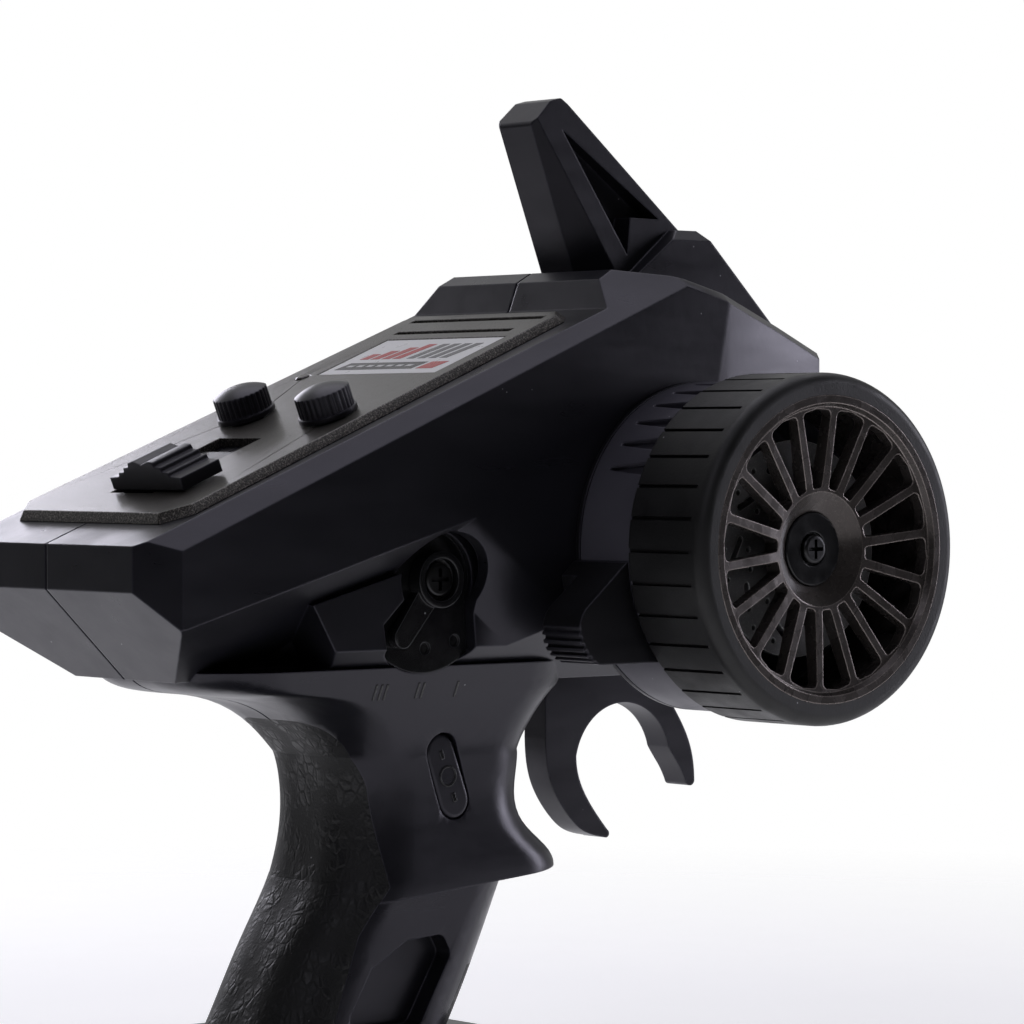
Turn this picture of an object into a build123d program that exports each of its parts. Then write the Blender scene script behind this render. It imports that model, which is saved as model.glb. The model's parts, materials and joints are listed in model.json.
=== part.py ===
from build123d import *
from math import cos, sin, tan, radians, pi
import os

os.makedirs("parts", exist_ok=True)

# ---------------------------------------------------------------- driving dimensions (mm)
# +X is the wheel side, +Y the nose, +Z up; the origin is the centre of the resting face.
HALF_WIDTH = 30.0            # head, centre plane to side face
WALL = 2.6                   # shell thickness
SKIN_T = 2.0                  # rubber skin thickness
FIT = 0.05                   # radial clearance of a turning fit
GAP = 0.3                    # air gap between moving surfaces
WHEEL_Y, WHEEL_Z = 60.0, 112.0   # steering axis, which runs along X
WHEEL_R = 30.7               # tyre outside radius
WHEEL_FACE = 64.0            # X of the rim's outer face
TYRE_BACK = 45.2             # X of the tyre's inner edge
RING_R = 29.4                # fixed ring behind the tyre
RING_FRONT = 44.4            # X of the ring's free edge
SHAFT_R = 3.0                # steering shaft
SPOKES = 18
FIRST_WINDOW = 6.0           # degrees from +Z to the first window between spokes
GROOVES = 34

SLOPE = 22.0                 # deck tilt in degrees
DECK_Y, DECK_Z = -59.8, 113.7    # rear edge of the deck
PANEL_T = 1.6                # panel height above the deck
PANEL_Y = -50.5              # rear edge of the panel's upper face
PANEL_Z = DECK_Z + (PANEL_Y - DECK_Y) * tan(radians(SLOPE)) + PANEL_T / cos(radians(SLOPE))
PANEL_LEN = 92.0
PANEL_HALF_REAR, PANEL_HALF_FRONT = 23.5, 21.0

TRIGGER_Y, TRIGGER_Z = 62.0, 99.0    # trigger pivot axis, along X
TRIGGER_W = 6.0
PIN_R = 2.0                  # trigger shaft
TRIM_X = (-9.0, 14.5)        # steering trim, throttle trim
TRIM_ALONG = 42.0            # distance up the panel
SLIDER_X, SLIDER_ALONG = 6.0, 12.3
APRON_X = 24.5               # flat that carries the rate selector
SELECT_Y, SELECT_Z = 4.6, 107.0  # rate selector pivot
BUTTON_Y, BUTTON_Z, BUTTON_LEAN = 13.4, 72.2, 20.0

POCKET_DEPTH = 3.2
SELECT_ANGLES = (38.0, 6.0, -26.0)   # high, medium, low: degrees back from straight down
BUTTON_LEN, BUTTON_W = 15.6, 6.4
WINDOW_DEPTH = 5.0
KNOB_R, KNOB_H, KNOB_DOME, STEM_R = 4.9, 4.4, 1.3, 2.8
SLOT_X, SLOT_W = 1.0, 12.0   # slider slot in the panel
CAP_PROFILE = [(-10.2, 0.4), (10.2, 0.4), (10.2, 2.6), (7.4, 2.8), (7.1, 3.5), (5.6, 3.6), (5.3, 4.4), (3.9, 4.5),
               (3.6, 5.3), (2.0, 5.5), (0, 4.9), (-2.0, 5.5), (-3.6, 5.3), (-3.9, 4.5), (-5.3, 4.4), (-5.6, 3.6),
               (-7.1, 3.5), (-7.4, 2.8), (-10.2, 2.6)]
LABEL_X, LABEL_ALONG, LABEL_W, LABEL_L = 2.5, 71.5, 33.0, 17.0
LAMP_X, LAMP_ALONG, LAMP_R = -17.0, 61.5, 1.4
BOARD_TOP = -9.0             # board face below the panel face
BOARD_CHIPS = [(60, -6, 12, 12, 1.6), (30, 8, 8, 10, 1.4), (76, 8, 14, 10, 2.0), (18, -12, 5, 5, 3.0)]
AERIAL_FOOT, AERIAL_R, AERIAL_LEN = (0.0, 67.2, 158.0), 1.2, 33.0
SHOULDER_HALF = 12.0
PLATE_INNER = 20.0           # bore of the lever's plate
LEVER_STEM_R, LEVER_RELIEF = 33.0, 4.4   # outside this radius the lever's thumb stands this far off the side
RIM_R = 26.8
HUB_BORE = 3.02
HUB_SEAT = 58.2              # X of the floor the hub cap sits on
SEAM = 0.25                  # half width and depth of the groove between the shell halves
GROOVE_LEN = 15.6
SCREW_END = 9.0              # X of the blind end of the screw holes
SCREW_HEAD_T = 1.8

BASE_TOP = 27.0
CAVITY_X, CAVITY_LOW, CAVITY_HIGH = 28.0, 4.0, 19.2
BASE_HALF = 33.0             # base, X
BASE_BACK, BASE_FRONT = -46.0, 40.0
FEET_H = 1.5
DOOR_W, DOOR_LOW, DOOR_HIGH = 62.0, 3.6, 19.0
DOOR_T = 2.2
HINGE_X, HINGE_Z, PIVOT_R = -31.9, 5.0, 0.7
CELL_X0, CELL_Z = -24.0, 11.6    # flat end and axis height of the cells
CELL_R, CELL_LEN, CELL_PITCH = 7.15, 50.5, 15.0

# side view of the head, (Y, Z), from the tail over the top to the nose
DECK_END_Y = 40.6
DECK_END_Z = DECK_Z + (DECK_END_Y - DECK_Y) * tan(radians(SLOPE))
CREST = [(46.0, 161.4), (55.5, 160.4), (67.0, 157.5), (84.0, 151.7), (104.0, 144.5)]
CREST_EDGE = 1.5             # chamfer between the crest and the side
HEAD_SIDE = [(DECK_Y, 106.1), (DECK_Y, DECK_Z), (DECK_END_Y, DECK_END_Z), (42.7, 159.6)] + CREST + [
    (104.0, 122.0), (96.0, 104.0), (84.0, 92.0), (76.0, 88.5), (38.0, 88.5), (30.0, 90.5), (-44.0, 90.5)]
# plan of the head, right side, (X, Y)
HEAD_PLAN = [(25.0, DECK_Y), (HALF_WIDTH, -53.3), (HALF_WIDTH, 68.0), (24.5, 95.5), (10.0, 104.0)]
NOSE_Y, NOSE_TAPER = 68.0, 5.5 / 27.5    # where the sides start to draw in, and how fast

# grip sections: height, centre Y, half depth, half width, corner radius, tilt in degrees
GRIP_LOW = [(24.0, -4.0, 21.0, 16.0, 12.0, 0), (34.4, 2.0, 21.2, 15.5, 12.0, 0),
            (43.0, 6.4, 21.0, 15.5, 12.0, 0), (50.0, 10.0, 20.8, 15.8, 12.0, 3), (56.0, 12.9, 20.6, 16.2, 12.0, 5)]
GRIP_HIGH = [(52.6, 17.6, 26.6, 16.8, 13.0, 5), (57.0, 17.2, 24.4, 16.6, 12.5, 4), (62.0, 15.6, 21.4, 16.0, 12.0, 2),
             (69.0, 14.8, 20.3, 15.8, 12.0, 0), (76.0, 14.3, 21.0, 16.3, 12.0, 0)]
NECK = [(76.0, 14.3, 21.0, 16.3, 12.0, 0), (82.0, 12.8, 25.6, 17.5, 12.5, 0),
        (86.5, 9.0, 33.0, 19.3, 14.0, 0), (89.0, 2.0, 42.0, 20.5, 16.0, 0), (92.0, 0.5, 44.0, 22.0, 17.0, 0)]
# hollow inside the grip, from the base up into the head
CORE = [(22.0, -4.0, 13.0, 8.5, 5.0, 0), (50.0, 10.0, 12.0, 8.5, 5.0, 0), (62.0, 15.0, 12.0, 9.0, 5.0, 0),
        (80.0, 14.0, 15.0, 11.0, 6.0, 0), (93.0, 8.0, 20.0, 14.0, 6.0, 0)]
# housing screws: Y, Z, and X of the seat under the head
SCREWS = [(-38.0, 103.5, -27.5), (24.0, 98.0, -22.0), (93.0, 114.0, -22.5), (60.0, 150.0, -27.5),
          (16.0, 60.0, -13.4), (6.5, 49.0, -13.2)]


# ---------------------------------------------------------------- helpers
def on_panel(along, across=0.0, height=0.0):
    """Plane parallel to the panel face: X to the right, Y up the slope."""
    a = radians(SLOPE)
    origin = (across, PANEL_Y + along * cos(a) - height * sin(a), PANEL_Z + along * sin(a) + height * cos(a))
    return Plane(origin=origin, x_dir=(1, 0, 0), z_dir=(0, -sin(a), cos(a)))


def across_x(x, y, z):
    """Plane facing +X with its origin at (x, y, z): local X is +Y, local Y is +Z."""
    return Plane(origin=(x, y, z), x_dir=(0, 1, 0), z_dir=(1, 0, 0))


def plane_through(a, b, c, inset):
    """Plane through three points of the right side, normal pointing outward, moved in by inset."""
    a, b, c = Vector(*a), Vector(*b), Vector(*c)
    normal = (b - a).cross(c - a).normalized()
    if normal.X < 0:
        normal = normal * -1
    return Plane(origin=a - normal * inset, z_dir=normal)


def outside_block(plane, mirrored):
    """Large block that fills everything beyond a plane."""
    block = plane.location * Box(400, 400, 120, align=(Align.CENTER, Align.CENTER, Align.MIN), mode=Mode.PRIVATE)
    return mirror(block, about=Plane.YZ, mode=Mode.PRIVATE) if mirrored else block


def rounded_section(height, centre, depth, width, radius, tilt, inset):
    """Sketch of one rounded grip section on its own plane."""
    a = radians(tilt)
    plane = Plane(origin=(0, centre, height), x_dir=(1, 0, 0), z_dir=(0, -sin(a), cos(a)))
    with BuildSketch(plane) as sketch:
        RectangleRounded(2 * (width - inset), 2 * (depth - inset), radius - inset)
    return sketch.sketch


def grip_loft(sections, inset=0.0):
    with BuildPart() as body:
        for section in sections:
            add(rounded_section(*section, inset))
        loft()
    return body.part


def coil(radius, wire, pitch, turns, plane):
    """Plain wound spring as one closed solid, its axis along the plane's normal."""
    with BuildPart() as body:
        with BuildLine() as path:
            Helix(pitch=pitch, height=pitch * turns, radius=radius)
        with BuildSketch(Plane(origin=path.line @ 0, z_dir=path.line % 0)):
            Circle(wire)
        sweep()
    return plane.location * body.part


# ---------------------------------------------------------------- head
def side_cutter(inset, mirrored):
    """Material removed under the side ridge, leaving the flat for the rate selector."""
    low = plane_through((30, -53.3, 99.9), (30, 4.7, 116.6), (18.5, -46.5, 92.8), inset)
    swell = plane_through((30, 8, 118), (30, 38, 95), (24.5, 20, 95), inset)
    cutter = outside_block(low, mirrored) - outside_swell(swell, mirrored)
    with BuildPart() as flat:
        with BuildSketch(Plane.YZ):
            with BuildLine():
                Polyline((-22.6 + inset, 103.2), (-16.6 + inset, 93.0), (-16.6 + inset, 84), (60, 84), (60, 125),
                         close=True)
            make_face()
        extrude(amount=APRON_X - inset, both=True)
    return cutter - flat.part


def outside_swell(plane, mirrored):
    """Inner side of the swelling that leads from the flat to the wheel ring."""
    block = plane.location * Box(400, 400, 120, align=(Align.CENTER, Align.CENTER, Align.MAX), mode=Mode.PRIVATE)
    return mirror(block, about=Plane.YZ, mode=Mode.PRIVATE) if mirrored else block


def crest_chamfer(start, end, inset):
    """Plane that breaks the edge between one stretch of the crest and the side."""
    (y0, z0), (y1, z1) = start, end
    x0 = HALF_WIDTH - max(0, y0 - NOSE_Y) * NOSE_TAPER
    x1 = HALF_WIDTH - max(0, y1 - NOSE_Y) * NOSE_TAPER
    return plane_through((x0, y0, z0 - CREST_EDGE), (x1, y1, z1 - CREST_EDGE), (x0 - CREST_EDGE, y0, z0), inset)


def head_block(inset=0.0):
    with BuildPart() as block:
        with BuildSketch(Plane.YZ):
            with BuildLine():
                Polyline(*HEAD_SIDE, close=True)
            make_face()
            if inset:
                offset(amount=-inset, kind=Kind.INTERSECTION)
        extrude(amount=HALF_WIDTH - inset, both=True)
        with BuildSketch(Plane.XY.offset(60)):
            with BuildLine():
                Polyline(*HEAD_PLAN, *[(-x, y) for x, y in reversed(HEAD_PLAN)], close=True)
            make_face()
            if inset:
                offset(amount=-inset, kind=Kind.INTERSECTION)
        extrude(amount=120, mode=Mode.INTERSECT)
    top = plane_through((30, -53.3, 112.9), (30, 55.7, 157.8), (26.2, -53.3, 116.6), inset)
    bottom = plane_through((24.5, 0, 95.2), (24.5, 50, 95.2), (17.0, 0, 88.5), inset)
    head = block.part
    for mirrored in (False, True):
        head = head - outside_block(top, mirrored) - outside_block(bottom, mirrored) - side_cutter(inset, mirrored)
        for start, end in zip(CREST[:-1], CREST[1:]):
            head = head - outside_block(crest_chamfer(start, end, inset), mirrored)
    return head


# ---------------------------------------------------------------- shell halves
def rubber_zone(rear):
    """Slab across the whole grip that marks where the surface is rubber."""
    with BuildPart() as zone:
        with BuildSketch(Plane.YZ):
            with BuildLine():
                if rear:
                    Polyline((-2.0, 70.9), (0.4, 53.5), (-5.5, 45.5), (-15.5, 20.0), (-60, 20.0), (-60, 82.8),
                             (-14.5, 82.8))
                    ThreePointArc((-14.5, 82.8), (-6.4, 78.2), (-2.0, 70.9))
                else:
                    Polyline((19.5, 38.5), (9.0, 20.0), (40, 20.0), (40, 38.5), close=True)
            make_face()
        extrude(amount=40, both=True)
    return zone.part


def rubber_skin(rear):
    """Outer layer of the grip inside a rubber zone."""
    layer = grip_loft(GRIP_LOW) - grip_loft(GRIP_LOW, SKIN_T)
    if rear:
        layer = grip_loft(GRIP_LOW) + grip_loft(GRIP_HIGH) + grip_loft(NECK)
        layer = layer - grip_loft(GRIP_LOW, SKIN_T) - grip_loft(GRIP_HIGH, SKIN_T) - grip_loft(NECK, SKIN_T)
    return layer & rubber_zone(rear)


def selector_pocket(shrink=0.0):
    """Keyhole pocket of the rate selector: a round top over a fan."""
    with BuildPart() as pocket:
        with BuildSketch(across_x(APRON_X - POCKET_DEPTH, SELECT_Y, SELECT_Z)) as outline:
            with BuildLine():
                Polyline((8.2, -12.4), (7.6, -5.5), (7.4, 0), (-7.4, 0), (-7.4, -3.0), (-12.2, -7.5), (-11.4, -12.6))
                ThreePointArc((-11.4, -12.6), (-1.5, -16.2), (8.2, -12.4))
            make_face()
            Circle(8.4)
            fillet(outline.vertices().sort_by(Axis.Y)[0:2], 1.6)
            if shrink:
                offset(amount=-shrink)
        extrude(amount=12)
    return pocket.part


def grip_window(side):
    """Blind hand-hold pocket low on one side of the grip."""
    with BuildPart() as pocket:
        with BuildSketch(Plane.YZ.offset(side * (16.5 - WINDOW_DEPTH))) as outline:
            with BuildLine():
                Polyline((-9.5, 29.0), (-3.2, 39.5), (4.5, 44.0), (12.6, 44.6), (14.6, 41.0), (7.4, 29.0), close=True)
            make_face()
            fillet(outline.vertices(), 2.0)
        extrude(amount=side * 12)
    return pocket.part


def screw_bosses():
    with BuildPart() as bosses:
        for y, z, _ in SCREWS:
            with BuildSketch(across_x(0, y, z)):
                Circle(3.4)
            extrude(amount=HALF_WIDTH, both=True)
    return bosses.part


def trigger_slot():
    with BuildPart() as slot:
        with Locations((0, 64.5, 86)):
            Box(TRIGGER_W + 2.2, 48, 20)
    return slot.part


def deck_openings():
    """Holes in the deck for the trim stems, the slider stem and the lamp."""
    with BuildPart() as holes:
        for x in TRIM_X:
            with BuildSketch(on_panel(TRIM_ALONG, x, -9)):
                Circle(STEM_R + GAP)
            extrude(amount=12)
        with BuildSketch(on_panel(13.6, SLOT_X, -9)):
            Rectangle(3.2, 8.4)
        extrude(amount=9 - PANEL_T / 2)
        with BuildSketch(on_panel(LAMP_ALONG, LAMP_X, -9)):
            Circle(LAMP_R + 0.1)
        extrude(amount=12)
    return holes.part


def tube(radius, x0, x1, y, z):
    """Plain cylinder along X."""
    with BuildPart() as rod:
        with BuildSketch(across_x(x0, y, z)):
            Circle(radius)
        extrude(amount=x1 - x0)
    return rod.part


def slab_x(x0, x1):
    """Large slab between two X values."""
    with BuildPart() as slab:
        with Locations(((x0 + x1) / 2, 40, 90)):
            Box(x1 - x0, 300, 300)
    return slab.part


def build_shell():
    whole = head_block() + grip_loft(NECK) + grip_loft(GRIP_HIGH) + grip_loft(GRIP_LOW)
    hollow = head_block(WALL) + grip_loft(CORE)
    bosses = screw_bosses() + tube(5.0, TRIGGER_W / 2 + 1.2, HALF_WIDTH - 1, TRIGGER_Y, TRIGGER_Z)
    bosses = bosses + tube(5.0, 1 - HALF_WIDTH, -18.4, TRIGGER_Y, TRIGGER_Z)
    bosses = bosses + tube(12.0, 20.5, HALF_WIDTH - 1, WHEEL_Y, WHEEL_Z) + selector_backing()
    whole = whole - (hollow - (bosses & head_and_core()))
    whole = whole - (slab_x(-SEAM, SEAM) - head_block(2 * SEAM) - grip_loft(NECK, 2 * SEAM)
                     - grip_loft(GRIP_HIGH, 2 * SEAM) - grip_loft(GRIP_LOW, 2 * SEAM))
    whole = whole - trigger_slot() - deck_openings() - selector_pocket() - rubber_skin(True) - rubber_skin(False)
    whole = whole - grip_window(1) - grip_window(-1) - button_bore() - aerial_bore()
    whole = whole - tube(SHAFT_R + FIT, 0, 40, WHEEL_Y, WHEEL_Z)
    whole = whole - tube(PIN_R + FIT, 0, 11, TRIGGER_Y, TRIGGER_Z)
    whole = whole - tube(1.5, 12, APRON_X, SELECT_Y, SELECT_Z)
    for y, z, seat in SCREWS:
        whole = whole - tube(1.25, -40, SCREW_END, y, z) - tube(2.9, -40, seat, y, z)
    return whole


def head_and_core():
    return head_block(0.5) + grip_loft(CORE)


def selector_backing():
    """Solid pad behind the selector pocket."""
    with BuildPart() as pad:
        with Locations((APRON_X - 7.5, SELECT_Y - 1.5, SELECT_Z - 4.5)):
            Box(12.0, 25, 28)
    return pad.part


def button_bore():
    with BuildPart() as bore:
        with BuildSketch(button_plane(9.0)):
            SlotOverall(BUTTON_LEN + 0.5, BUTTON_W + 0.5)
        extrude(amount=12)
        with BuildSketch(button_plane(4.5)):
            Rectangle(8, 8)
        extrude(amount=6)
    return bore.part


def button_plane(x):
    """Plane facing +X at the side button, its X axis along the button's length."""
    a = radians(90 + BUTTON_LEAN)
    return Plane(origin=(x, BUTTON_Y, BUTTON_Z), x_dir=(0, cos(a), sin(a)), z_dir=(1, 0, 0))


def aerial_bore():
    with BuildPart() as bore:
        with BuildSketch(aerial_plane()):
            Circle(AERIAL_R + GAP)
        extrude(amount=AERIAL_LEN + 0.8)
    return bore.part


def aerial_plane():
    return Plane(origin=AERIAL_FOOT, x_dir=(1, 0, 0), z_dir=(0, -0.58, 0.815))


shell = build_shell()

with BuildPart() as housing_right:
    add(shell)
    split(bisect_by=Plane.YZ, keep=Keep.TOP)
housing_right.part.label = "housing_right"
export_step(housing_right.part, "parts/housing_right.step")

with BuildPart() as housing_left:
    add(shell)
    split(bisect_by=Plane.YZ, keep=Keep.BOTTOM)
housing_left.part.label = "housing_left"
export_step(housing_left.part, "parts/housing_left.step")

with BuildPart() as rear_grip_skin:
    add(rubber_skin(True))
rear_grip_skin.part.label = "rear_grip_skin"
export_step(rear_grip_skin.part, "parts/rear_grip_skin.step")

with BuildPart() as front_grip_skin:
    add(rubber_skin(False))
front_grip_skin.part.label = "front_grip_skin"
export_step(front_grip_skin.part, "parts/front_grip_skin.step")

with BuildPart() as housing_screws:
    for y, z, seat in SCREWS:
        with BuildSketch(across_x(seat - SCREW_HEAD_T, y, z)):
            Circle(2.6)
        extrude(amount=SCREW_HEAD_T)
        with BuildSketch(across_x(seat, y, z)):
            Circle(1.2)
        extrude(amount=SCREW_END - seat - 1)
        with BuildSketch(across_x(seat - SCREW_HEAD_T, y, z)):
            Rectangle(3.0, 0.6)
            Rectangle(0.6, 3.0)
        extrude(amount=0.9, mode=Mode.SUBTRACT)
housing_screws.part.label = "housing_screws"
export_step(housing_screws.part, "parts/housing_screws.step")

# ---------------------------------------------------------------- control panel
with BuildPart() as control_panel:
    with BuildSketch(on_panel(0, 0, -PANEL_T)) as plate:
        with BuildLine():
            right = [(PANEL_HALF_REAR - 2.9, -1.8), (PANEL_HALF_REAR + 1.8, 2.9), (PANEL_HALF_FRONT + 1.8, PANEL_LEN - 1),
                     (PANEL_HALF_FRONT - 1.0, PANEL_LEN + 1.8)]
            Polyline(*right, *[(-x, y) for x, y in reversed(right)], close=True)
        make_face()
    extrude(amount=PANEL_T, taper=38)
    for x in TRIM_X:
        with BuildSketch(on_panel(TRIM_ALONG, x, 0)):
            Circle(STEM_R + GAP)
        extrude(amount=-4, mode=Mode.SUBTRACT)
    with BuildSketch(on_panel(20.0, SLOT_X, 0)):
        Rectangle(SLOT_W, 24.6)
    extrude(amount=-4, mode=Mode.SUBTRACT)
    with BuildSketch(on_panel(LABEL_ALONG, LABEL_X, 0)):
        Rectangle(LABEL_W + 0.4, LABEL_L + 0.4)
    extrude(amount=-0.4, mode=Mode.SUBTRACT)
    for along, half in ((89.6, 18.6), (83.6, 16.4)):
        with BuildSketch(on_panel(along, 0.6, 0)):
            Rectangle(2 * half, 1.3)
        extrude(amount=-0.9, mode=Mode.SUBTRACT)
    with BuildSketch(on_panel(LAMP_ALONG, LAMP_X, 0)):
        Circle(LAMP_R)
    extrude(amount=-4, mode=Mode.SUBTRACT)
control_panel.part.label = "control_panel"
export_step(control_panel.part, "parts/control_panel.step")

with BuildPart() as panel_label:
    with BuildSketch(on_panel(LABEL_ALONG, LABEL_X, -0.4)):
        Rectangle(LABEL_W, LABEL_L)
    extrude(amount=0.3)
panel_label.part.label = "panel_label"
export_step(panel_label.part, "parts/panel_label.step")

with BuildPart() as status_lamp:
    with BuildSketch(on_panel(LAMP_ALONG, LAMP_X, -8.6)):
        Circle(LAMP_R)
    extrude(amount=8.9)
    fillet(status_lamp.faces().sort_by(Axis.Z)[-1].edges(), 0.6)
status_lamp.part.label = "status_lamp"
export_step(status_lamp.part, "parts/status_lamp.step")


def cap_plane():
    """Plane across the slope at the rear of the slider cap, Y up from the panel."""
    back = on_panel(SLIDER_ALONG - 4.35, SLIDER_X, 0)
    return Plane(origin=back.origin, x_dir=(1, 0, 0), z_dir=back.y_dir * -1)


def trim_knob(x):
    """Fluted knob with a domed top and a thin base flange."""
    dome_radius = (KNOB_R ** 2 + KNOB_DOME ** 2) / (2 * KNOB_DOME)
    with BuildPart() as knob:
        with BuildSketch(on_panel(TRIM_ALONG, x, GAP)):
            Circle(KNOB_R + 0.35)
        extrude(amount=0.9)
        with BuildSketch(on_panel(TRIM_ALONG, x, GAP + 0.9)):
            Circle(KNOB_R)
            with PolarLocations(KNOB_R + 0.25, 30):
                Circle(0.42, mode=Mode.SUBTRACT)
        extrude(amount=KNOB_H + 2)
        with Locations(on_panel(TRIM_ALONG, x, GAP + KNOB_H + KNOB_DOME - dome_radius)):
            Sphere(dome_radius, mode=Mode.INTERSECT)
        with BuildSketch(on_panel(TRIM_ALONG, x, -5.0)):
            Circle(STEM_R)
        extrude(amount=5.6)
    return knob.part


with BuildPart() as steering_trim_knob:
    add(trim_knob(TRIM_X[0]))
steering_trim_knob.part.label = "steering_trim_knob"
export_step(steering_trim_knob.part, "parts/steering_trim_knob.step")

with BuildPart() as throttle_trim_knob:
    add(trim_knob(TRIM_X[1]))
throttle_trim_knob.part.label = "throttle_trim_knob"
export_step(throttle_trim_knob.part, "parts/throttle_trim_knob.step")

with BuildPart() as trim_encoders:
    for x in TRIM_X:
        with BuildSketch(on_panel(TRIM_ALONG, x, BOARD_TOP)):
            RectangleRounded(11, 11, 1)
        extrude(amount=-5.2 - BOARD_TOP)
trim_encoders.part.label = "trim_encoders"
export_step(trim_encoders.part, "parts/trim_encoders.step")

with BuildPart() as power_slider:
    with BuildSketch(cap_plane()) as profile:
        with BuildLine():
            Polyline(*CAP_PROFILE, close=True)
        make_face()
    extrude(amount=-8.7)
    with BuildSketch(on_panel(18.6, SLOT_X, -1.4)):
        Rectangle(SLOT_W - 1.2, 18.6)
    extrude(amount=0.7)
    with BuildSketch(on_panel(SLIDER_ALONG, SLOT_X, -0.8)):
        Rectangle(SLOT_W - 2.4, 6.0)
    extrude(amount=2.0)
    with BuildSketch(on_panel(11.6, SLOT_X, -7.6)):
        Rectangle(2.4, 3.2)
    extrude(amount=6.2)
power_slider.part.label = "power_slider"
export_step(power_slider.part, "parts/power_slider.step")

with BuildPart() as power_switch_body:
    with BuildSketch(on_panel(13.6, SLOT_X, BOARD_TOP)):
        Rectangle(10, 17)
    extrude(amount=-5.3 - BOARD_TOP)
    with BuildSketch(on_panel(13.6, SLOT_X, -8.0)):
        Rectangle(3.2, 8.4)
    extrude(amount=4, mode=Mode.SUBTRACT)
power_switch_body.part.label = "power_switch_body"
export_step(power_switch_body.part, "parts/power_switch_body.step")

with BuildPart() as main_board:
    with BuildSketch(on_panel(45, 0, BOARD_TOP - 1.6)):
        RectangleRounded(38, 74, 2)
    extrude(amount=1.6)
    for along, across, width, length, height in BOARD_CHIPS:
        with BuildSketch(on_panel(along, across, BOARD_TOP - 1.6)):
            Rectangle(width, length)
        extrude(amount=-height)
main_board.part.label = "main_board"
export_step(main_board.part, "parts/main_board.step")

# ---------------------------------------------------------------- aerial fin
with BuildPart() as fin_profile:
    with BuildSketch(Plane.YZ) as blade:
        with BuildLine():
            Polyline((42.0, 188.4), (46.4, 192.6), (49.0, 193.3), (50.6, 192.2), (75.2, 169.8), (84.0, 150.0),
                     (56.0, 150.0), (52.2, 162.0), close=True)
        make_face()
        fillet(blade.vertices().sort_by(Axis.Y)[-4:], 0.9)
    extrude(amount=9, both=True)
fin_blade = fin_profile.part
for mirrored in (False, True):
    lean = plane_through((9, 58, 162), (9, 74, 162), (5, 58, 192), 0)
    corner = plane_through((4.3, 41.9, 188.2), (4.4, 52.1, 162.1), (9.0, 58.7, 161.7), 0)
    fin_blade = fin_blade - outside_block(lean, mirrored) - outside_block(corner, mirrored)

with BuildPart() as shoulder:
    with BuildSketch(Plane.YZ):
        with BuildLine():
            Polyline((61.6, 161.5), (72.6, 169.8), (77.6, 169.8), (100.0, 148.1), (100.0, 140.0), (61.6, 140.0),
                     close=True)
        make_face()
    extrude(amount=SHOULDER_HALF, both=True)
    chamfer(shoulder.edges().filter_by(Axis.Y).group_by(Axis.Z)[-1], 1.9)

with BuildPart() as fin_recess:
    with BuildSketch(Plane.YZ.offset(3.4)):
        with BuildLine():
            Polyline((48.8, 187.4), (70.4, 171.8), (63.4, 171.9), (61.9, 164.9), close=True)
        make_face()
    extrude(amount=10)
recess = fin_recess.part + mirror(fin_recess.part, about=Plane.YZ)
fin_body = fin_blade - recess + shoulder.part - head_block() - aerial_bore()
with BuildPart() as antenna_fin:
    add(fin_body)
antenna_fin.part.label = "antenna_fin"
export_step(antenna_fin.part, "parts/antenna_fin.step")

with BuildPart() as aerial_rod:
    with BuildSketch(aerial_plane()):
        Circle(AERIAL_R)
    extrude(amount=AERIAL_LEN)
aerial_rod.part.label = "aerial_rod"
export_step(aerial_rod.part, "parts/aerial_rod.step")

# ---------------------------------------------------------------- steering wheel
with BuildPart() as wheel_base_ring:
    with BuildSketch(across_x(HALF_WIDTH, WHEEL_Y, WHEEL_Z)):
        Circle(PLATE_INNER - GAP)
    extrude(amount=1.5)
    with BuildSketch(across_x(HALF_WIDTH + 1.5, WHEEL_Y, WHEEL_Z)):
        Circle(RING_R)
    extrude(amount=2.0)
    with BuildSketch(across_x(HALF_WIDTH + 1.5, WHEEL_Y, WHEEL_Z)):
        Circle(RING_R)
        Circle(RING_R - 3.4, mode=Mode.SUBTRACT)
    extrude(amount=RING_FRONT - HALF_WIDTH - 1.5)
    with BuildSketch(across_x(HALF_WIDTH, WHEEL_Y, WHEEL_Z)):
        Circle(SHAFT_R + FIT)
    extrude(amount=4, mode=Mode.SUBTRACT)
    for step in range(8):
        a = radians(151.5 - 10 * step)
        notch = Plane(origin=(RING_FRONT, WHEEL_Y + RING_R * cos(a), WHEEL_Z + RING_R * sin(a)),
                      x_dir=(-1, 0, 0), z_dir=(0, cos(a), sin(a)))
        with BuildSketch(notch.offset(-1.1)):
            with BuildLine():
                Polyline((-1, -1.3), (9.2, -0.3), (9.2, 0.3), (-1, 1.3), close=True)
            make_face()
        extrude(amount=3, mode=Mode.SUBTRACT)
wheel_base_ring.part.label = "wheel_base_ring"
export_step(wheel_base_ring.part, "parts/wheel_base_ring.step")

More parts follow.
